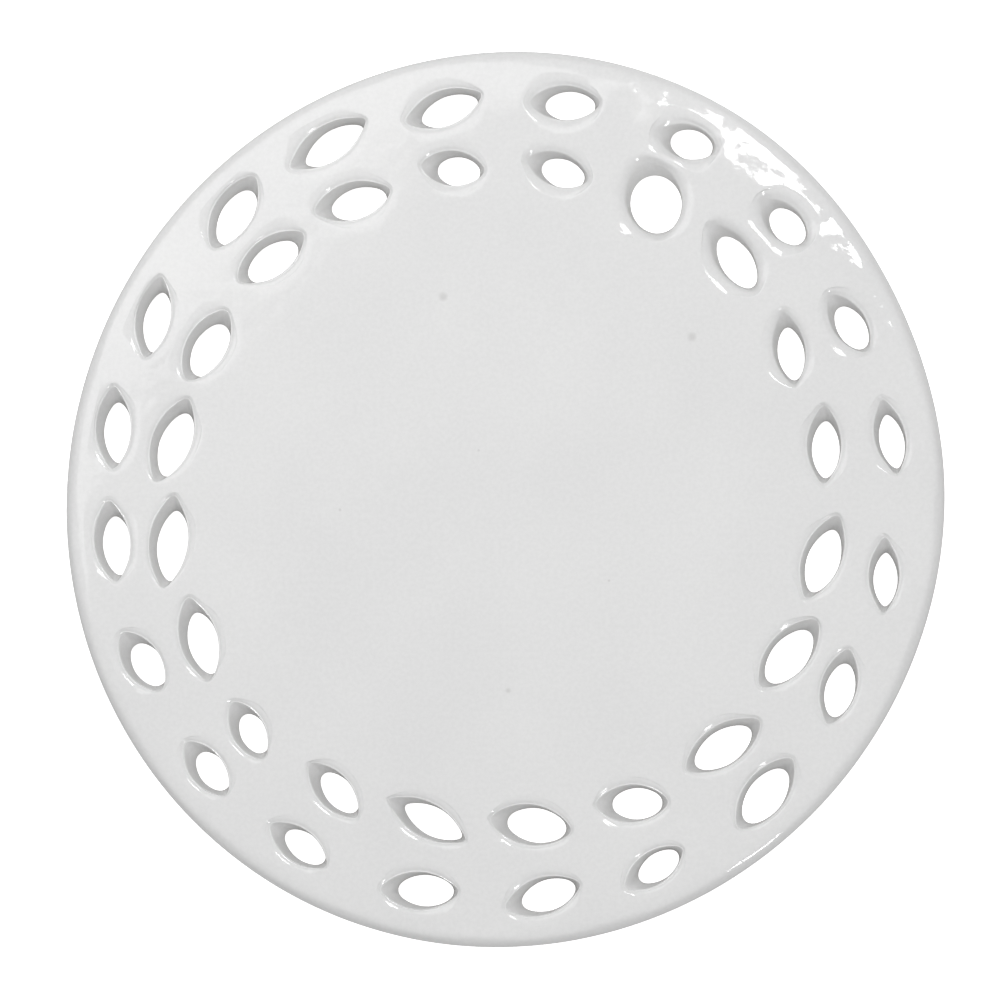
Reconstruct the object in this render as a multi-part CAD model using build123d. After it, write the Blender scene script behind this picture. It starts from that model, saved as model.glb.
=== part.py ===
from build123d import *
import math
import os

# Pierced ceramic flower frog: a hand-cut, slightly oval slab with two rows of leaf-shaped stem
# holes round its edge, and a glass glaze fused over its top, its rim and the walls of its holes.
# Millimetres. The underside lies on Z = 0, with the origin under the middle of the slab.

# Slab
DISC_LENGTH = 152.2         # across the long axis of the rim, over the glaze
DISC_WIDTH = 148.4          # across the short axis of the rim, over the glaze
OVAL_HEADING = 65.0         # heading of the long axis, in degrees from +X towards +Y
FLAT_BEARING = 28.0         # where the hand-cut rim runs a little flat
FLAT_DEPTH = 1.0            # how far the flat stands in
FLAT_SPREAD = 22.0          # half its length, in degrees
RIM_POINTS = 36             # points that the rim's curve is drawn through
THICKNESS = 6.0             # underside to the top of the glaze
RIM_ROUND = 2.8             # soft upper edge of the rim
FOOT_ROUND = 0.8            # worn lower edge of the rim

# Glaze
GLAZE = 0.35                # thickness of the fused coat
GLAZE_LINE = 1.2            # bare clay left above the underside

# Stem holes
HOLE_LENGTH = 9.5           # see-through length of a plain hole
HOLE_WIDTH = 5.1            # see-through width of a plain hole
RIM_LAND = 5.65             # rim to the outer row of holes
ROW_WEB = 5.7               # between the two rows
END_WEB = 8.2               # between neighbours along the inner row
THROAT = 1.8                # straight bottom of each hole
SIDE_FLARE = 0.5            # how much a long side opens from the throat to the top
LONG_TIP = 2.0              # how far the scooped end runs back from the throat
SHORT_TIP = 1.0             # how far the other end runs back
LEAN_X, LEAN_Y = -0.3, 0.2  # drift of the top outline, as the cutter was pressed in
LIP_ROUND = 1.0             # soft upper edge of a hole
LIP_SHARE = 0.42            # most of the web beside a hole that its lip may take
SHOULDER = 38.0             # where a long side of the leaf meets its tip, in degrees
TIP_ROUND = 0.6             # sharpest tip that the cutter leaves: a slimmer leaf gets a flatter shoulder

FIRST_BEARING = 98.0        # bearing of the first pair of holes; the rows run clockwise

# How each hole strays from a plain one, in order round the row. The pattern was laid out by hand.
# (degrees along the row, mm outwards, extra length, extra width, degrees turned, scooped end)
# The scooped end is +1 where it points anticlockwise round the slab and -1 where it points clockwise.
OUTER_TURN = 8.0
OUTER_STRAY = [
    (0.0, -0.7, 0.5, 0.0, 4.0, 1), (0.4, -0.2, -1.1, -0.1, 0.0, 1),
    (0.0, 0.0, -2.3, 0.0, 4.0, 1), (-0.3, -0.6, -2.3, -0.1, -8.0, 1),
    (0.0, -0.7, -1.5, -0.3, -2.0, 1), (0.2, 0.1, -0.3, -0.9, -5.0, 1),
    (-2.1, -0.2, -0.5, -1.0, 3.0, 1), (-1.8, -0.7, -0.3, -0.1, 7.0, 1),
    (-2.7, 0.6, 1.3, 0.9, 3.0, 1), (-3.2, 0.6, -1.7, -0.6, 4.0, -1),
    (-1.6, 0.1, -0.1, 0.1, 4.0, -1), (-1.3, -0.1, -0.1, 0.2, 1.0, -1),
    (-1.8, 0.2, -1.5, -0.5, -15.0, -1), (-1.0, 0.2, -2.1, -0.3, -13.0, -1),
    (-1.1, -0.2, -1.5, 0.1, 2.0, -1), (-1.2, 0.0, 0.5, 0.0, -9.0, -1),
    (0.2, 0.8, 0.8, -0.1, 2.0, -1), (1.0, 0.5, 0.8, -0.2, 9.0, -1),
    (-0.4, 0.1, 0.8, 0.6, 8.0, -1), (-0.3, 0.1, 1.9, 0.1, -1.0, 1),
]
INNER_TURN = -12.0
INNER_STRAY = [
    (-0.1, -0.4, -2.3, -0.1, -1.0, 1), (-0.3, -0.9, -2.0, -0.3, 2.0, 1),
    (0.6, -0.9, 0.3, 3.6, -40.0, 1), (1.3, -0.2, 0.4, 0.3, -1.0, 1),
    (0.6, -1.0, -0.5, -0.6, -6.0, 1), (0.5, -0.3, 0.1, -0.4, 3.0, 1),
    (-1.2, -0.3, 1.6, 0.4, 3.0, 1), (-1.1, -0.1, 1.3, 0.9, 1.0, 1),
    (-2.7, 0.6, 1.5, 0.7, 4.0, 1), (-2.4, 0.3, -1.1, 0.2, -9.0, -1),
    (-2.3, -1.0, 0.5, 0.7, -2.0, -1), (-2.4, -1.0, 1.4, -0.3, -4.0, -1),
    (-1.3, 0.1, -1.2, -0.4, -7.0, -1), (-0.9, 1.5, -2.4, -0.5, -3.0, -1),
    (-0.4, 0.4, 1.2, 0.3, 2.0, -1), (0.0, 1.3, 2.5, 0.5, -2.0, -1),
    (0.6, 1.5, 1.8, 0.6, 1.0, -1), (1.2, 1.1, 0.2, 0.7, 9.0, -1),
    (0.3, 1.1, 0.3, 0.5, 3.0, -1), (0.2, 0.1, 0.1, 0.3, 1.0, 1),
]

OUTER_INSET = RIM_LAND + HOLE_WIDTH / 2
INNER_INSET = OUTER_INSET + HOLE_WIDTH + ROW_WEB
INNER_ROUND = math.pi * ((DISC_LENGTH + DISC_WIDTH) / 2 - 2 * INNER_INSET)
HOLES_PER_ROW = round(INNER_ROUND / (HOLE_LENGTH + END_WEB))


def rim_radius(bearing):
    """Distance from the middle of the slab to its rim."""
    a, b = DISC_LENGTH / 2, DISC_WIDTH / 2
    angle = math.radians(bearing - OVAL_HEADING)
    oval = a * b / math.hypot(b * math.cos(angle), a * math.sin(angle))
    off_flat = (bearing - FLAT_BEARING + 180) % 360 - 180
    return oval - FLAT_DEPTH * math.exp(-((off_flat / FLAT_SPREAD) ** 2))


def rim_outline(inset):
    """The rim as one closed curve, set in by the given amount."""
    bearings = [360 / RIM_POINTS * k for k in range(RIM_POINTS)]
    points = [Vector(rim_radius(b) - inset, 0).rotate(Axis.Z, b) for b in bearings]
    return Face(Wire([Spline(points, periodic=True)]))


def shoulder(length, width):
    """Angle at which a leaf's sides meet its tips, with no tip sharper than the cutter leaves."""
    slack = (width / 2 - TIP_ROUND) / (length / 2 - width / 2)
    return min(math.radians(SHOULDER), 2 * math.atan(slack / (1 + slack)))


def leaf(length, width, angle):
    """A leaf outline of four tangent arcs, its long axis on X."""
    a, b = length / 2, width / 2
    sin, cos = math.sin(angle), math.cos(angle)
    side = b + (a - b) * cos / (sin + cos - 1)
    joint_x, joint_y = side * sin, side * cos - (side - b)
    return Wire([
        ThreePointArc((-joint_x, joint_y), (0, b), (joint_x, joint_y)),
        ThreePointArc((joint_x, joint_y), (a, 0), (joint_x, -joint_y)),
        ThreePointArc((joint_x, -joint_y), (0, -b), (-joint_x, -joint_y)),
        ThreePointArc((-joint_x, -joint_y), (-a, 0), (-joint_x, joint_y)),
    ])


def stem_holes():
    """Place, heading, size and scooped end of each stem hole."""
    found = []
    for inset, turn, strays in (
        (OUTER_INSET, OUTER_TURN, OUTER_STRAY),
        (INNER_INSET, INNER_TURN, INNER_STRAY),
    ):
        for k in range(HOLES_PER_ROW):
            along, out, longer, wider, turned, end = strays[k % len(strays)]
            bearing = FIRST_BEARING - 360 / HOLES_PER_ROW * k + along
            spot = Vector(rim_radius(bearing) - inset + out, 0).rotate(Axis.Z, bearing)
            heading = bearing + 90 + turn + turned
            found.append((spot, heading, HOLE_LENGTH + longer, HOLE_WIDTH + wider, end))
    return found


def outlines(hole, grow):
    """A hole's throat and its top outline, each grown by the same amount all round."""
    spot, heading, length, width, end = hole
    place = Location((spot.X, spot.Y, 0), (0, 0, heading))
    scooped = Location((end * (LONG_TIP - SHORT_TIP) / 2, 0, 0))
    angle = shoulder(length, width)
    throat = leaf(length + 2 * grow, width + 2 * grow, angle)
    top = leaf(length + LONG_TIP + SHORT_TIP + 2 * grow, width + 2 * (SIDE_FLARE + grow), angle)
    return place * throat, Location((LEAN_X, LEAN_Y, 0)) * place * scooped * top


def lip_rounds(holes):
    """Radius of each hole's lip: less than the full size only where the web beside it is thin."""
    tops = [outlines(hole, 0)[1] for hole in holes]
    webs = [min(top.distance_to(t) for t in tops if t is not top) for top in tops]
    return [min(LIP_ROUND, LIP_SHARE * web) for web in webs]


def cutter(hole, grow, height):
    """The space that a hole takes out of a slab of the given height."""
    throat, top = outlines(hole, grow)
    below = Location((0, 0, -1))
    shank = extrude(Face(below * throat), THROAT + 1, dir=(0, 0, 1))
    funnel = Solid.make_loft(
        [Location((0, 0, THROAT)) * throat, Location((0, 0, height)) * top], ruled=True
    )
    return shank + funnel


def pierced_slab(inset, holes, lips):
    """The whole slab, with its rim, its top and its hole walls set in by the given amount."""
    height = THICKNESS - inset
    slab = extrude(rim_outline(inset), height, dir=(0, 0, 1))
    slab = fillet(slab.edges().group_by(Axis.Z)[-1], RIM_ROUND - inset)
    slab = fillet(slab.edges().group_by(Axis.Z)[0], FOOT_ROUND)
    slab -= [cutter(hole, inset, height) for hole in holes]
    middles = [outlines(hole, inset)[1].center() for hole in holes]
    for lip in sorted(set(lips)):
        mouths = slab.faces().sort_by(Axis.Z)[-1].inner_wires()
        edges = []
        for middle in (m for m, own in zip(middles, lips) if own == lip):
            raised = Vector(middle.X, middle.Y, height)
            edges += min(mouths, key=lambda mouth: (mouth.center() - raised).length).edges()
        slab = fillet(edges, lip - inset)
    return slab


holes = stem_holes()
lips = lip_rounds(holes)
outer_form = pierced_slab(0, holes, lips)
clay_body = pierced_slab(GLAZE, holes, lips)
above_line = Location((0, 0, GLAZE_LINE)) * Box(
    2 * DISC_LENGTH, 2 * DISC_LENGTH, 2 * THICKNESS, align=(Align.CENTER, Align.CENTER, Align.MIN)
)
glaze_coat = (outer_form & above_line) - clay_body

os.makedirs("parts", exist_ok=True)
for node, solid in (("clay_body", clay_body), ("glaze_coat", glaze_coat)):
    export_step(solid, f"parts/{node}.step")
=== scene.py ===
import math

import bmesh
import bpy
from mathutils import Matrix, Vector


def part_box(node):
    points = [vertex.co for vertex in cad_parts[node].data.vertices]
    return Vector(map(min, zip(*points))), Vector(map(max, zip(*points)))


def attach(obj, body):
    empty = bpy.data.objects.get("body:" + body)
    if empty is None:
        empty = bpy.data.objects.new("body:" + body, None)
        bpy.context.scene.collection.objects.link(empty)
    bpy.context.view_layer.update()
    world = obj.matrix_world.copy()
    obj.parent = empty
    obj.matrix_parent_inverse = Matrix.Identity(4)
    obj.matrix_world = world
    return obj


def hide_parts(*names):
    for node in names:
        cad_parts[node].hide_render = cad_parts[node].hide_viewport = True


# A pierced ceramic flower frog: the glaze, melted soft over every edge, and the bare clay slab under it.
# In metres. The outlines of the rim and of the stem holes are read from the frame.

MM = 0.001

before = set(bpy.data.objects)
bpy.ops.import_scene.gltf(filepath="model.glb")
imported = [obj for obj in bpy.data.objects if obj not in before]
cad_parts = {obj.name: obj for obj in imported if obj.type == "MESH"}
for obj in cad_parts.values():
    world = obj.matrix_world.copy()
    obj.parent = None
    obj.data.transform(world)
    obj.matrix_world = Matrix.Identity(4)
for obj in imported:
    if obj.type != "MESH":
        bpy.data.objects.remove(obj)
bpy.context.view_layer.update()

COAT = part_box("glaze_coat")[1].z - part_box("clay_body")[1].z     # thickness of the glaze
GLAZE_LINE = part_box("glaze_coat")[0].z
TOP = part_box("glaze_coat")[1].z

# Slab
RIM_ROUND = 2.8 * MM        # soft upper edge of the rim
RIM_ARC = (25, 50, 75)      # where the cage's rings lie round that edge, in degrees from the top
FOOT_ROUND = 0.8 * MM       # worn lower edge of the rim
FOOT_MIDDLE = 0.29          # middle of that edge, as a share of its radius, in from each face
SAG = 0.05 * MM             # how far the hand-rolled top rises and falls
THROAT = 1.8 * MM           # each hole runs straight up to here, and then opens
OPENING = 3.0 * MM          # a loop of the cage lies here, where the hole has opened a little
FOOT_LOOP = 0.5 * MM        # and one here, to keep the lower edge of the hole crisp
LOW_CUT, HIGH_CUT = 1.0 * MM, 4.0 * MM      # heights at which the outlines are read from the clay
WELD = 0.001 * MM           # corners closer than this are one corner
SHORTEST_OUTLINE = 8        # in corners: less is a stray fragment

# Lips of the holes
LIP_REACH = 2.1 * MM        # how far out the melted lip starts
LIP_DEPTH = 0.8 * MM        # and how far down it runs into the wall
LIP_ARC = (88, 66, 46, 26)  # where the cage's loops lie round the lip, in degrees up from the wall
LIP_EXTRA = 0.8 * MM        # more of both where the glaze ran thickest
THICK_BEARING = 52.0        # where it ran thickest, in degrees
THICK_SPREAD = 32.0         # and how far round that goes
LIP_SHARE = 0.86            # most of the way to the edge of its block that a lip takes
END_REACH = (0.35, 0.7, 1.0, 1.0, 1.0, 0.7)     # the lip is tighter round each end of a hole
TIP_DRAWN = 0.5 * MM        # how far the cutter drew out each pointed end at the mouth
EDGE_ROLL = 0.20 * MM       # how far the top rolls down towards the rim
ROLL_DEPTH = 1.0 * MM       # and how much further where the glaze ran thickest
ROLL_REACH = 11.0 * MM
RUNS = 0.12 * MM            # how far the thick glaze there rises and falls in runs
RUNS_REACH = 1.6 * ROLL_REACH
RUNS_LOWEST = TOP - 2 * MM

# Cage: a polar sheet. Its rings are numbered outwards, and each hole has a block of 4 by 2 faces.
HOLES_PER_ROW = 20
SEGMENTS = 4 * HOLES_PER_ROW
FIELD_RING, INNER_RING, WEB_RING, OUTER_RING = 6, 8, 10, 12
FIELD_EDGE = 42 * MM        # in from the rim: where the plain middle begins
FIELD_STEP = 35 * MM
INNER_EDGE = 28.0 * MM      # inner side of the inner row
ROW_WEB = 13.6 * MM         # holes with their middles nearer the rim than this are the outer row
OUTER_EDGE = RIM_ROUND + 0.3 * MM
STATIONS = 12               # points round each hole
ALONG_SIDE = (0.0, 0.13, 0.3, 0.5, 0.7, 0.87)   # of the way from one end of a hole to the other
FINE, COARSE = 2, 1         # levels of subdivision
SWELLS = 8                  # rounds of swelling that hold the cage's shape, and the share of each
SWELL_SHARE = 0.9
PLAIN_SHARE = 0.99          # further in than this share of FIELD_EDGE, the cage is left as it is
CREASE = 50                 # degrees: edges sharper than this stay sharp


def only(*objects):
    """Selects just these, and makes the first one active."""
    if bpy.context.object and bpy.context.object.mode != "OBJECT":
        bpy.ops.object.mode_set(mode="OBJECT")
    bpy.ops.object.select_all(action="DESELECT")
    for piece in objects:
        piece.select_set(True)
    bpy.context.view_layer.objects.active = objects[0]


def polar(radius, bearing, height=0.0):
    angle = math.radians(bearing)
    return Vector((radius * math.cos(angle), radius * math.sin(angle), height))


def bearing_of(point):
    return math.degrees(math.atan2(point.y, point.x)) % 360


def turn_between(start, end):
    """Degrees anticlockwise from one bearing to another, from -180 to 180."""
    return (end - start + 180) % 360 - 180


# --- The outlines that the frame gives

def section(node, height):
    """The closed outlines that a level cut through a CAD node leaves."""
    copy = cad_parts[node].copy()
    copy.data = copy.data.copy()
    bpy.context.scene.collection.objects.link(copy)
    only(copy)
    bpy.ops.object.mode_set(mode="EDIT")
    bpy.ops.mesh.select_all(action="SELECT")
    bpy.ops.mesh.remove_doubles(threshold=WELD)
    bpy.ops.mesh.select_all(action="SELECT")
    bpy.ops.mesh.bisect(plane_co=(0, 0, height), plane_no=(0, 0, 1), clear_inner=True, clear_outer=True)
    bpy.ops.mesh.select_all(action="SELECT")
    bpy.ops.mesh.remove_doubles(threshold=2 * WELD)
    bpy.ops.object.mode_set(mode="OBJECT")
    beside = {vertex.index: [] for vertex in copy.data.vertices}
    for a, b in (edge.vertices for edge in copy.data.edges):
        beside[a].append(b)
        beside[b].append(a)
    outlines, seen = [], set()
    for start in beside:
        if start in seen or len(beside[start]) < 2:
            continue
        loop, here = [], start
        while here is not None:
            seen.add(here)
            loop.append(copy.data.vertices[here].co.xy.copy())
            here = next((n for n in beside[here] if n not in seen), None)
        if len(loop) > SHORTEST_OUTLINE:
            outlines.append(loop)
    bpy.data.objects.remove(copy)
    return outlines


def perimeter(outline):
    return sum((a - b).length for a, b in zip(outline, outline[1:] + outline[:1]))


def middle(outline):
    """Middle of the area inside an outline, and twice that area, positive where it runs anticlockwise."""
    area, centre = 0.0, Vector((0, 0))
    for a, b in zip(outline, outline[1:] + outline[:1]):
        cross = a.x * b.y - b.x * a.y
        area += cross
        centre += (a + b) * cross
    return centre / (3 * area), area


def walk(path, share):
    """The point a given share of the way along a path."""
    steps = [(b - a).length for a, b in zip(path, path[1:])]
    left = share * sum(steps)
    for a, b, step in zip(path, path[1:], steps):
        if left <= step:
            return a.lerp(b, left / step if step else 0)
        left -= step
    return path[-1].copy()


def stations(outline):
    """Twelve points round a hole, anticlockwise from its anticlockwise end."""
    centre, area = middle(outline)
    loop = outline if area > 0 else outline[::-1]
    far = max(range(len(loop)), key=lambda i: (loop[i] - centre).length)
    near = max(range(len(loop)), key=lambda i: (loop[i] - loop[far]).length)
    far = max(range(len(loop)), key=lambda i: (loop[i] - loop[near]).length)
    ahead = Vector((-centre.y, centre.x))
    first, second = (far, near) if (loop[far] - centre).dot(ahead) > 0 else (near, far)
    loop = loop[first:] + loop[:first]
    split = (second - first) % len(loop)
    sides = loop[:split + 1], loop[split:] + loop[:1]
    return [walk(side, share) for side in sides for share in ALONG_SIDE]


def drawn_in(loop, amount):
    """A hole's stations moved towards its inside."""
    moved = []
    for before, here, after in zip(loop[-1:] + loop[:-1], loop, loop[1:] + loop[:1]):
        along = (here - before).normalized() + (after - here).normalized()
        moved.append(here + amount * Vector((-along.y, along.x)).normalized())
    return moved


def read_holes(height):
    """Middle and stations of each hole in the clay at a height, and the outline of the clay's rim."""
    outlines = sorted(section("clay_body", height), key=perimeter)
    return [(middle(outline)[0], stations(outline)) for outline in outlines[:-1]], outlines[-1]


low_holes, rim = read_holes(LOW_CUT)
high_holes, _ = read_holes(HIGH_CUT)
rim_points = sorted((bearing_of(p), p.length + COAT) for p in rim)


def rim_radius(bearing):
    """Distance from the middle of the slab to the glazed rim."""
    bearing %= 360
    previous = rim_points[-1][0] - 360, rim_points[-1][1]
    for here in rim_points + [(rim_points[0][0] + 360, rim_points[0][1])]:
        if here[0] >= bearing:
            span = here[0] - previous[0]
            share = (bearing - previous[0]) / span if span else 0
            return previous[1] + share * (here[1] - previous[1])
        previous = here


holes = []
for centre, low in low_holes:
    high = min(high_holes, key=lambda hole: (hole[0] - centre).length)[1]
    inset = rim_radius(bearing_of(centre)) - centre.length
    holes.append({
        "centre": centre,
        "bearing": bearing_of(centre),
        "row": "outer" if inset < ROW_WEB else "inner",
        "clay": (low, high),
        "glaze": (drawn_in(low, COAT), drawn_in(high, COAT)),
    })
rows = {name: sorted((h for h in holes if h["row"] == name), key=lambda h: h["bearing"])
        for name in ("outer", "inner")}
start = rows["outer"][0]["bearing"]
rows["inner"].sort(key=lambda h: (h["bearing"] - start + 180 / HOLES_PER_ROW) % 360)


def end_bearing(hole, way):
    """Bearing of a hole's end, anticlockwise of its middle for 1 and clockwise for -1."""
    turns = [turn_between(hole["bearing"], bearing_of(spot)) for spot in hole["clay"][1]]
    return hole["bearing"] + way * max(way * turn for turn in turns)


def side_bearings(row):
    """Bearing of each side line of the row's blocks, halfway between neighbouring holes."""
    found = []
    for k, hole in enumerate(row):
        before = end_bearing(row[k - 1], 1)
        found.append(before + turn_between(before, end_bearing(hole, -1)) / 2)
    return found


sides = {name: side_bearings(row) for name, row in rows.items()}


def line_bearing(row, line):
    """Bearing of one of the sheet's lines where it crosses a row."""
    k, part = int(line // 4) % HOLES_PER_ROW, (line % 4) / 4
    here, after = sides[row][k], sides[row][(k + 1) % HOLES_PER_ROW]
    return here + part * turn_between(here, after)


def web_insets():
    """How far in from the rim the middle of the web between the rows lies, for each pair of holes."""
    found = []
    for outer, inner in zip(rows["outer"], rows["inner"]):
        deepest = max(rim_radius(bearing_of(spot)) - spot.length for spot in outer["clay"][1])
        shallowest = min(rim_radius(bearing_of(spot)) - spot.length for spot in inner["clay"][1])
        found.append((deepest + shallowest) / 2)
    return found


webs = web_insets()


def web_at(line):
    """How far in from the rim the middle of the web lies along one of the sheet's lines."""
    k = int(line // 4) % HOLES_PER_ROW
    return (webs[k] + webs[k - 1]) / 2 if line % 4 == 0 else webs[k]


# --- The shape of the slab

def thick_glaze(bearing):
    """1 where the glaze ran thickest, falling to 0 away from there."""
    off = turn_between(THICK_BEARING, bearing) / THICK_SPREAD
    return math.exp(-off * off)


def roll(point):
    """How far the top has rolled down at a point."""
    bearing = bearing_of(point)
    near_rim = max(0.0, 1 - (rim_radius(bearing) - point.xy.length) / ROLL_REACH)
    return (EDGE_ROLL + ROLL_DEPTH * thick_glaze(bearing)) * near_rim ** 2


def run_glaze(sheet):
    """Lets the thick glaze near the rim stand in runs."""
    for vertex in sheet.data.vertices:
        spot = vertex.co
        near_rim = 1 - (rim_radius(bearing_of(spot)) - spot.xy.length) / RUNS_REACH
        if near_rim > 0 and spot.z > RUNS_LOWEST:
            x, y = spot.x / MM, spot.y / MM
            runs = math.sin(x / 1.3 + 1.7 * math.sin(y / 2.1)) * math.sin(y / 1.1 + 1.3 * math.sin(x / 2.9))
            spot.z -= RUNS * thick_glaze(bearing_of(spot)) * near_rim * (1 + runs)


def top_height(point):
    """Height of the hand-rolled top: never flat, and a touch lower where the glaze drew back."""
    x, y = point.x / MM, point.y / MM
    wave = math.sin(x / 9.1 + 0.7 * math.sin(y / 13.0)) * math.sin(y / 10.7 + 1.3)
    wave += 0.5 * math.sin((x - y) / 17.0)
    return TOP - 1.6 * SAG + SAG * wave - roll(point)


def rim_profile(inset, foot):
    """(in from the rim, height) down the edge of the slab, from the top round to the lowest ring."""
    radius = RIM_ROUND - inset
    straight = TOP - inset - radius
    profile = []
    for angle in RIM_ARC:
        out, up = math.sin(math.radians(angle)), math.cos(math.radians(angle))
        profile.append((inset + radius * (1 - out), TOP - inset - radius * (1 - up)))
    profile += [(inset, straight), (inset, (straight + GLAZE_LINE) / 2), (inset, GLAZE_LINE)]
    if foot:
        corner = FOOT_MIDDLE * FOOT_ROUND
        profile += [(inset, FOOT_ROUND), (inset + corner, corner), (inset + FOOT_ROUND, 0.0)]
    return profile


def lay(ring, line, inset, profile):
    """Where a corner of the sheet goes: in the middle, in one of the rows, or down the edge."""
    outer, inner = line_bearing("outer", line), line_bearing("inner", line)
    even = sides["inner"][0] + 360 / SEGMENTS * line
    height = None
    if ring <= FIELD_RING:
        bearing = even
        back = rim_radius(bearing) - ring / FIELD_RING * (rim_radius(bearing) - FIELD_EDGE)
    elif ring < INNER_RING:
        bearing = even + turn_between(even, inner) * (ring - FIELD_RING) / (INNER_RING - FIELD_RING)
        back = FIELD_STEP
    elif ring == INNER_RING:
        back, bearing = INNER_EDGE, inner
    elif ring < WEB_RING:
        back, bearing = (web_at(line) + INNER_EDGE) / 2, inner
    elif ring == WEB_RING:
        back, bearing = web_at(line), inner + turn_between(inner, outer) / 2
    elif ring < OUTER_RING:
        back, bearing = (web_at(line) + OUTER_EDGE) / 2, outer
    elif ring == OUTER_RING:
        back, bearing = OUTER_EDGE, outer
    else:
        back, height = profile[int(ring) - OUTER_RING - 1]
        bearing = outer
    point = polar(rim_radius(bearing) - back, bearing)
    if height is None:
        point.z = top_height(point) - inset
    else:
        share = max(0.0, (height - TOP + RIM_ROUND) / RIM_ROUND)
        point.z = height - share * roll(point)
    return point


def wall(hole, skin, height):
    """Stations of a hole's wall at a height: straight up the throat, and then opening."""
    low, high = hole[skin]
    opened = max(0.0, (height - THROAT) / (HIGH_CUT - THROAT))
    loop = [a + (b - a) * opened for a, b in zip(low, high)]
    drawn = TIP_DRAWN * max(0.0, (height - THROAT) / (TOP - THROAT)) ** 1.5
    for end in (0, STATIONS // 2):
        loop[end] = loop[end] + drawn * (loop[end] - hole["centre"]).normalized()
    return loop


def hole_levels(hole, skin, cell, inset, foot):
    """The loops of a hole from the outside of its lip down to its lowest edge."""
    extra = LIP_EXTRA * thick_glaze(hole["bearing"])
    reach, depth = LIP_REACH + extra, LIP_DEPTH + extra
    levels = []
    for angle in LIP_ARC:
        out, drop = 1 - math.cos(math.radians(angle)), 1 - math.sin(math.radians(angle))
        loop = []
        for point, corner, ease in zip(wall(hole, skin, TOP - drop * depth), cell, END_REACH * 2):
            away = corner.xy - point
            spot = point + away * out * min(ease * reach / away.length, LIP_SHARE)
            loop.append(Vector((*spot, top_height(spot) - inset - drop * depth)))
        levels.append(loop)
    heights = [TOP - inset - depth, OPENING, GLAZE_LINE]
    if foot:
        heights += [FOOT_LOOP, 0.0]
    for height in heights:
        levels.append([Vector((*spot, height)) for spot in wall(hole, skin, height)])
    return levels


def polar_sheet(rings):
    """The flat sheet, laid out evenly: ring number for radius, and a face block for each hole."""
    bpy.ops.mesh.primitive_circle_add(vertices=SEGMENTS, radius=FIELD_RING, fill_type="NOTHING")
    sheet = bpy.context.object
    bpy.ops.object.mode_set(mode="EDIT")
    bpy.ops.mesh.select_mode(type="EDGE")
    bpy.ops.mesh.select_all(action="SELECT")
    bpy.ops.mesh.fill_grid(span=SEGMENTS // 4)
    mesh = bmesh.from_edit_mesh(sheet.data)
    for edge in mesh.edges:
        edge.select = edge.is_boundary
    bmesh.update_edit_mesh(sheet.data)
    for ring in range(FIELD_RING + 1, rings + 1):
        bpy.ops.mesh.extrude_edges_move()
        grow = ring / (ring - 1)
        bpy.ops.transform.resize(value=(grow, grow, 1))
    bpy.ops.mesh.select_mode(type="FACE")
    return sheet


def chart(point):
    """Ring and line of a point on the evenly laid sheet. Line 0 runs along +X."""
    return point.xy.length, bearing_of(point) / 360 * SEGMENTS


def open_blocks(sheet):
    """Joins each hole's block of eight faces into one."""
    for row_start in (INNER_RING, WEB_RING):
        for k in range(HOLES_PER_ROW):
            mesh = bmesh.from_edit_mesh(sheet.data)
            for face in mesh.faces:
                ring, line = chart(face.calc_center_median())
                inside = row_start < ring < row_start + 2 and int(line // 4) == k
                face.select = inside and len(face.verts) == 4
            bmesh.update_edit_mesh(sheet.data)
            bpy.ops.mesh.dissolve_faces()


def corners(face, first):
    """A face's corners, anticlockwise from above, starting with the one nearest to a point."""
    found = list(face.verts) if face.normal.z >= 0 else list(face.verts)[::-1]
    begin = min(range(len(found)), key=lambda i: (found[i].co - first).length)
    return found[begin:] + found[:begin]


def lay_sheet(sheet, inset, profile):
    """Moves every corner of the even sheet to its place on the slab."""
    mesh = bmesh.from_edit_mesh(sheet.data)
    for vertex in mesh.verts:
        ring, line = chart(vertex.co)
        ring = round(ring, 3) if ring > FIELD_RING else ring
        vertex.co = lay(ring, round(line, 3) % SEGMENTS, inset, profile)
    mesh.normal_update()
    if sum(face.normal.z for face in mesh.faces) < 0:
        bmesh.ops.reverse_faces(mesh, faces=mesh.faces)
    return mesh


def cell_of(hole, mesh, skin, inset, profile):
    """Corners of a hole's block, each paired with the station of the hole that it faces."""
    wide = [face for face in mesh.faces if len(face.verts) == STATIONS]
    face = min(wide, key=lambda f: (f.calc_center_median().xy - hole["centre"]).length)
    row_start = INNER_RING if hole["row"] == "inner" else WEB_RING
    line = 4 * (rows[hole["row"]].index(hole) + 1) % SEGMENTS
    cell = [vertex.co.copy() for vertex in corners(face, lay(row_start + 1, line, inset, profile))]
    mouth = wall(hole, skin, TOP)

    def strain(shift):
        return sum((cell[(i + shift) % STATIONS].xy - mouth[i]).length_squared for i in range(STATIONS))

    shift = min(range(-2, 3), key=strain)
    return cell[shift:] + cell[:shift]


def select_caps(sheet):
    """Selects the faces that still close the holes."""
    mesh = bmesh.from_edit_mesh(sheet.data)
    for face in mesh.faces:
        face.select = len(face.verts) == STATIONS
    bmesh.update_edit_mesh(sheet.data)


def sink_loop(sheet, outsides, loops):
    """Insets each hole's cap, and lays the new cap's corners on the hole's next loop."""
    select_caps(sheet)
    bpy.ops.mesh.inset(thickness=10 * WELD, use_individual=True, use_even_offset=False)
    mesh = bmesh.from_edit_mesh(sheet.data)
    caps = [face for face in mesh.faces if len(face.verts) == STATIONS]
    for outside, loop in zip(outsides, loops):
        ends = outside[::STATIONS // 2]
        cap = min(caps, key=lambda f: sum(min((v.co - end).length for v in f.verts) for end in ends))
        for vertex, spot in zip(corners(cap, outside[0]), loop):
            vertex.co = spot
    bmesh.update_edit_mesh(sheet.data)


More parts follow.
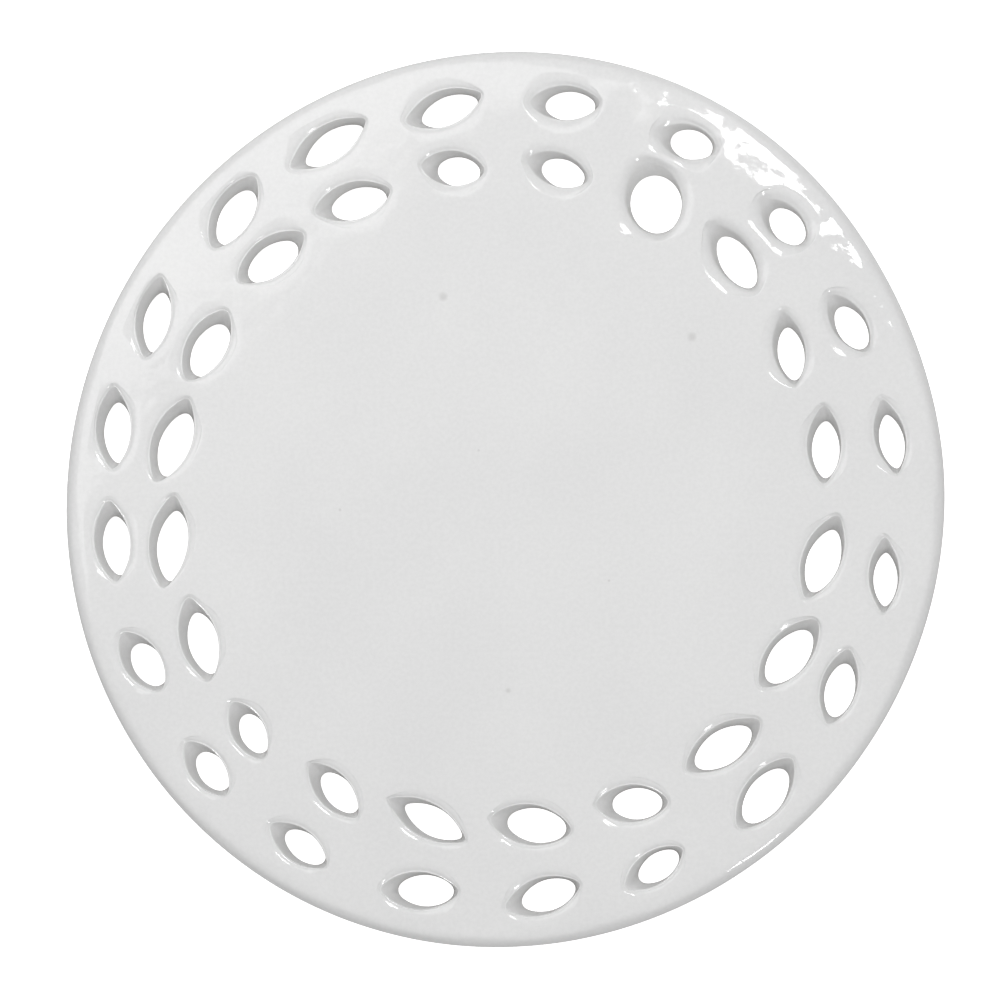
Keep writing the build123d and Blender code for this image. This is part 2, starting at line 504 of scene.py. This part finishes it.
def form(name, skin, inset, levels, foot):
    """One skin of the slab: the top, the rim and the walls of the holes, smoothed and open below."""
    profile = rim_profile(inset, foot)
    sheet = polar_sheet(OUTER_RING + len(profile))
    sheet.name = name
    open_blocks(sheet)
    mesh = lay_sheet(sheet, inset, profile)
    cells = [cell_of(hole, mesh, skin, inset, profile) for hole in holes]
    steps = list(zip(*(hole_levels(hole, skin, cell, inset, foot) for hole, cell in zip(holes, cells))))
    for outsides, loops in zip([cells] + steps, steps):
        sink_loop(sheet, outsides, loops)
    select_caps(sheet)
    bpy.ops.mesh.delete(type="ONLY_FACE")
    bpy.ops.object.mode_set(mode="OBJECT")
    hold_shape(sheet)
    smooth = sheet.modifiers.new("smooth", "SUBSURF")
    smooth.levels = smooth.render_levels = levels
    only(sheet)
    bpy.ops.object.modifier_apply(modifier=smooth.name)
    if skin == "glaze":
        run_glaze(sheet)
    return sheet


def smoothed(vertex):
    """Where a corner of the cage comes to lie on its smoothed surface."""
    if vertex.is_boundary:
        ends = [edge.other_vert(vertex).co for edge in vertex.link_edges if edge.is_boundary]
        return (vertex.co * 4 + ends[0] + ends[1]) / 6
    count = len(vertex.link_edges)
    near = sum((edge.other_vert(vertex).co for edge in vertex.link_edges), Vector())
    across = sum((loop.link_loop_next.link_loop_next.vert.co for loop in vertex.link_loops), Vector())
    return (vertex.co * count * count + near * 4 + across) / (count * (count + 5))


def hold_shape(sheet):
    """Swells the cage until its smoothed surface passes through the points that were laid out."""
    mesh = bmesh.new()
    mesh.from_mesh(sheet.data)
    goal = {vertex: vertex.co.copy() for vertex in mesh.verts
            if rim_radius(bearing_of(vertex.co)) - vertex.co.xy.length <= PLAIN_SHARE * FIELD_EDGE}
    for _ in range(SWELLS):
        moved = [vertex.co + SWELL_SHARE * (spot - smoothed(vertex)) for vertex, spot in goal.items()]
        for vertex, spot in zip(goal, moved):
            vertex.co = spot
    mesh.to_mesh(sheet.data)
    mesh.free()


def finish_piece(piece, name, node, material):
    """Faces outwards, smooth shading, the material, and what the piece stands for."""
    only(piece)
    bpy.ops.object.mode_set(mode="EDIT")
    bpy.ops.mesh.select_all(action="SELECT")
    bpy.ops.mesh.normals_make_consistent(inside=False)
    bpy.ops.object.mode_set(mode="OBJECT")
    bpy.ops.object.shade_smooth_by_angle(angle=math.radians(CREASE))
    piece.name = piece.data.name = name
    piece.data.materials.clear()
    piece.data.materials.append(material)
    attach(piece, "root")
    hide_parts(node)


def glaze_shell():
    """The coat of glaze: a fine outer skin, a coarser one against the clay, and the edge between them."""
    outer = form("outer", "glaze", 0.0, FINE, False)
    inner = form("inner", "clay", COAT, COARSE, False)
    fine = len(outer.data.vertices)
    only(outer, inner)
    bpy.ops.object.join()
    mesh = bmesh.new()
    mesh.from_mesh(outer.data)
    fine_edge = [vertex for vertex in mesh.verts if vertex.is_boundary and vertex.index < fine]
    coarse_edge = [vertex for vertex in mesh.verts if vertex.is_boundary and vertex.index >= fine]
    nearest = {vertex: min(fine_edge, key=lambda v: (v.co - vertex.co).length_squared)
               for vertex in coarse_edge}
    beside = {vertex: {edge.other_vert(vertex) for edge in vertex.link_edges if edge.is_boundary}
              for vertex in fine_edge}
    for a, b in [edge.verts for edge in mesh.edges if edge.is_boundary and edge.verts[0] in nearest]:
        between = beside[nearest[a]] & beside[nearest[b]]
        mesh.faces.new([a, b, nearest[b], *between, nearest[a]])
    mesh.to_mesh(outer.data)
    mesh.free()
    return outer


def clay_slab():
    """The clay under the glaze, with its bare foot and its flat underside."""
    slab = form("slab", "clay", COAT, FINE, True)
    only(slab)
    bpy.ops.object.mode_set(mode="EDIT")
    bpy.ops.mesh.select_mode(type="EDGE")
    mesh = bmesh.from_edit_mesh(slab.data)
    for edge in mesh.edges:
        edge.select = edge.is_boundary
    bmesh.update_edit_mesh(slab.data)
    bpy.ops.mesh.fill(use_beauty=True)
    bpy.ops.object.mode_set(mode="OBJECT")
    return slab


# --- Materials

SPECK_COLOUR = (0.42, 0.41, 0.40)           # iron specks under the glaze
SPECK_STRENGTH = 0.32
SPECK_CORE = 0.3                            # share of a speck's radius that is darkest
SPECKS = (                                  # (x, y, radius) in mm, the larger ones first
    (-10.0, 34.0, 0.95),
    (32.0, 27.0, 0.95),
    (1.0, -32.5, 0.6),
    (47.5, 30.5, 0.4),
    (-27.5, -2.0, 0.35),
    (-4.0, 8.0, 0.3),
    (18.0, -14.0, 0.3),
)
GLAZE_BUMP = 0.05 * MM
CLAY_BUMP = 0.06 * MM


def new_material(name):
    material = bpy.data.materials.new(name)
    material.use_nodes = True
    nodes = material.node_tree.nodes
    return material, nodes, material.node_tree.links, nodes["Principled BSDF"]


def grain_group():
    """Grain on an object's own coordinates: a coarse mottle and a fine height, both 0 to 1."""
    group = bpy.data.node_groups.new("fired_grain", "ShaderNodeTree")
    group.interface.new_socket(name="Vector", in_out="INPUT", socket_type="NodeSocketVector")
    for name in ("Mottle Scale", "Grain Scale"):
        group.interface.new_socket(name=name, in_out="INPUT", socket_type="NodeSocketFloat")
    for name in ("Mottle", "Height"):
        group.interface.new_socket(name=name, in_out="OUTPUT", socket_type="NodeSocketFloat")
    into, out = group.nodes.new("NodeGroupInput"), group.nodes.new("NodeGroupOutput")
    for scale, result in (("Mottle Scale", "Mottle"), ("Grain Scale", "Height")):
        noise = group.nodes.new("ShaderNodeTexNoise")
        noise.inputs["Detail"].default_value = 4
        group.links.new(into.outputs["Vector"], noise.inputs["Vector"])
        group.links.new(into.outputs[scale], noise.inputs["Scale"])
        group.links.new(noise.outputs["Fac"], out.inputs[result])
    return group


def add_grain(nodes, links, group, mottle_scale, grain_scale):
    """The grain group placed in a material, with the coordinates that it reads."""
    place, grain = nodes.new("ShaderNodeTexCoord"), nodes.new("ShaderNodeGroup")
    grain.node_tree = group
    grain.inputs["Mottle Scale"].default_value = mottle_scale
    grain.inputs["Grain Scale"].default_value = grain_scale
    links.new(place.outputs["Object"], grain.inputs["Vector"])
    return place, grain


def grey(value):
    return (value, value, value)


def ramp(nodes, links, source, low, high):
    """Colours a mask from one (position, colour) to the other."""
    node = nodes.new("ShaderNodeValToRGB")
    for stop, (position, colour) in zip(node.color_ramp.elements, (low, high)):
        stop.position = position
        stop.color = (*colour, 1)
    links.new(source, node.inputs["Fac"])
    return node.outputs["Color"]


def multiply(nodes, links, one, other):
    node = nodes.new("ShaderNodeMix")
    node.data_type = "RGBA"
    node.blend_type = "MULTIPLY"
    node.inputs["Factor"].default_value = 1.0
    links.new(one, node.inputs["A"])
    links.new(other, node.inputs["B"])
    return node.outputs["Result"]


def bump(nodes, links, height, distance, shader):
    node = nodes.new("ShaderNodeBump")
    node.inputs["Strength"].default_value = 1.0
    node.inputs["Distance"].default_value = distance
    links.new(height, node.inputs["Height"])
    links.new(node.outputs["Normal"], shader.inputs["Normal"])


def speck(nodes, links, place, colour, x, y, radius):
    """Stains a colour round one iron speck in the top of the glaze."""
    away = nodes.new("ShaderNodeVectorMath")
    away.operation = "DISTANCE"
    away.inputs[1].default_value = (x * MM, y * MM, TOP)
    links.new(place.outputs["Object"], away.inputs[0])
    edge = nodes.new("ShaderNodeMapRange")
    edge.inputs["From Min"].default_value = radius * MM
    edge.inputs["From Max"].default_value = SPECK_CORE * radius * MM
    edge.inputs["To Max"].default_value = SPECK_STRENGTH
    links.new(away.outputs["Value"], edge.inputs["Value"])
    stain = nodes.new("ShaderNodeMix")
    stain.data_type = "RGBA"
    stain.inputs["B"].default_value = (*SPECK_COLOUR, 1)
    links.new(edge.outputs["Result"], stain.inputs["Factor"])
    links.new(colour, stain.inputs["A"])
    return stain.outputs["Result"]


def glaze_material(group):
    """Glossy white glaze, faintly mottled and grained, with a few iron specks."""
    material, nodes, links, shader = new_material("white_glaze")
    place, grain = add_grain(nodes, links, group, 45.0, 330.0)
    _, fine = add_grain(nodes, links, group, 900.0, 1500.0)
    mottle = ramp(nodes, links, grain.outputs["Mottle"], (0.3, grey(0.80)), (0.7, (0.83, 0.83, 0.828)))
    flecks = ramp(nodes, links, fine.outputs["Height"], (0.35, grey(0.965)), (0.65, grey(1.0)))
    colour = multiply(nodes, links, mottle, flecks)
    for x, y, radius in SPECKS:
        colour = speck(nodes, links, place, colour, x, y, radius)
    links.new(colour, shader.inputs["Base Color"])
    gloss = ramp(nodes, links, grain.outputs["Mottle"], (0.3, grey(0.04)), (0.7, grey(0.09)))
    links.new(gloss, shader.inputs["Roughness"])
    bump(nodes, links, grain.outputs["Height"], GLAZE_BUMP, shader)
    shader.inputs["IOR"].default_value = 1.56
    return material


def clay_material(group):
    """Dull buff clay, gritty all over."""
    material, nodes, links, shader = new_material("bare_clay")
    _, grain = add_grain(nodes, links, group, 90.0, 1600.0)
    body = ramp(nodes, links, grain.outputs["Mottle"], (0.25, (0.62, 0.57, 0.50)), (0.75, (0.76, 0.72, 0.65)))
    grit = ramp(nodes, links, grain.outputs["Height"], (0.3, (0.82, 0.80, 0.77)), (0.55, grey(1.0)))
    links.new(multiply(nodes, links, body, grit), shader.inputs["Base Color"])
    dull = ramp(nodes, links, grain.outputs["Height"], (0.3, grey(0.95)), (0.7, grey(0.80)))
    links.new(dull, shader.inputs["Roughness"])
    bump(nodes, links, grain.outputs["Height"], CLAY_BUMP, shader)
    return material


def floor_material():
    """White paper that glows to the eye alone, so that it lights nothing."""
    material, nodes, links, shader = new_material("white_paper")
    shader.inputs["Base Color"].default_value = (0.62, 0.62, 0.62, 1)
    shader.inputs["Roughness"].default_value = 0.9
    shader.inputs["Emission Color"].default_value = (1, 1, 1, 1)
    seen = nodes.new("ShaderNodeLightPath")
    links.new(seen.outputs["Is Camera Ray"], shader.inputs["Emission Strength"])
    return material


grain = grain_group()
finish_piece(glaze_shell(), "glaze_skin", "glaze_coat", glaze_material(grain))
finish_piece(clay_slab(), "clay_slab", "clay_body", clay_material(grain))

# --- Floor, light and camera

FLOOR_SIZE = 4
SKY_STRENGTH = 0.522
SKY_HORIZON, SKY_FULL = 0.55, 0.6   # brightness at the horizon, and the height where the sky is full

bpy.ops.mesh.primitive_plane_add(size=FLOOR_SIZE)
floor = bpy.context.object
floor.name = "floor"
floor.data.materials.append(floor_material())

world = bpy.data.worlds.new("studio")
bpy.context.scene.world = world
world.use_nodes = True
sky, sky_links = world.node_tree.nodes, world.node_tree.links
shade = sky["Background"]
shade.inputs["Strength"].default_value = SKY_STRENGTH
around, height = sky.new("ShaderNodeTexCoord"), sky.new("ShaderNodeSeparateXYZ")
sky_links.new(around.outputs["Generated"], height.inputs["Vector"])
dome = ramp(sky, sky_links, height.outputs["Z"], (0.0, grey(SKY_HORIZON)), (SKY_FULL, grey(1.0)))
sky_links.new(dome, shade.inputs["Color"])


def softbox(name, bearing, elevation, distance, width, depth, watts):
    """A rectangular lamp that faces the slab from a bearing and an elevation, in degrees."""
    lamp = bpy.data.lights.new(name, "AREA")
    lamp.shape = "RECTANGLE"
    lamp.size, lamp.size_y = width, depth
    lamp.energy = watts
    box = bpy.data.objects.new(name, lamp)
    bpy.context.scene.collection.objects.link(box)
    up = math.radians(elevation)
    box.location = polar(distance * math.cos(up), bearing, distance * math.sin(up))
    box.rotation_euler = (-box.location).to_track_quat("-Z", "Y").to_euler()


softbox("window_upper_left", 132, 54, 0.42, 0.36, 0.32, 0.52)
softbox("softbox_upper_right", 58, 62, 1.1, 0.20, 0.30, 2.6)
softbox("softbox_lower_right", 304, 34, 1.1, 0.10, 0.30, 1.4)

VIEW_WIDTH = 169.2 * MM     # what the frame takes in at the slab
VIEW_DISTANCE = 0.8
VIEW_TILT, VIEW_BEARING = 4.5, 335.0
VIEW_CENTRE = Vector((-0.60 * MM, -0.30 * MM, TOP / 2))
SENSOR = 36                 # mm

lens = bpy.data.cameras.new("overhead")
lens.sensor_width = SENSOR
lens.lens = SENSOR * VIEW_DISTANCE / VIEW_WIDTH
camera = bpy.data.objects.new("overhead", lens)
bpy.context.scene.collection.objects.link(camera)
tilt = math.radians(VIEW_TILT)
back = polar(math.sin(tilt), VIEW_BEARING, math.cos(tilt))
right = Vector((0, 1, 0)).cross(back).normalized()
turned = Matrix((right, back.cross(right), back)).transposed().to_4x4()
camera.matrix_world = Matrix.Translation(VIEW_CENTRE + VIEW_DISTANCE * back) @ turned
bpy.context.scene.camera = camera
bpy.context.scene.view_settings.view_transform = "Standard"
